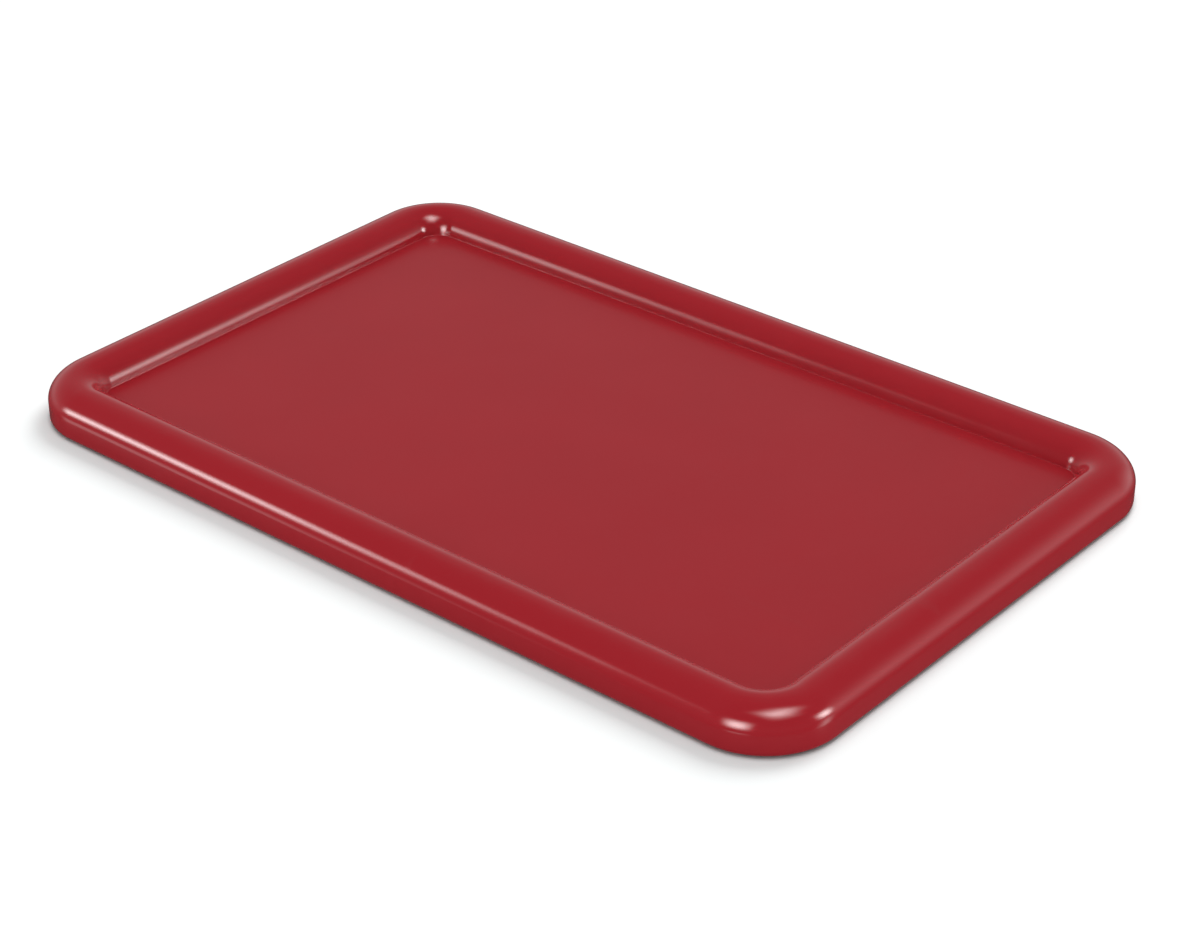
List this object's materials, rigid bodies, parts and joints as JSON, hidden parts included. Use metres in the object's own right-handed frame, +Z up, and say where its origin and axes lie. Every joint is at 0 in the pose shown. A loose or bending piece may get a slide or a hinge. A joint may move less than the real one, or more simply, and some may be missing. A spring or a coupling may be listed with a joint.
{
  "type": "storage tray lid",
  "caption": "Rectangular moulded plastic lid with rounded corners, a half-round rolled rim and a flat recessed panel, for closing and stacking a classroom storage tray.",
  "frame": {"origin": "middle of the plane that the foot of the skirt stands on", "axes": "+X along the lid, +Y across it, +Z up through the panel, out of the recess"},
  "size_m": [0.356, 0.2284, 0.0162],
  "materials": {
    "shell": "glossy, moulded in colour, with a finer sheen on the rim than on the panel"
  },
  "bodies": {
    "root": {"lid": "shell"}
  },
  "joints": []
}
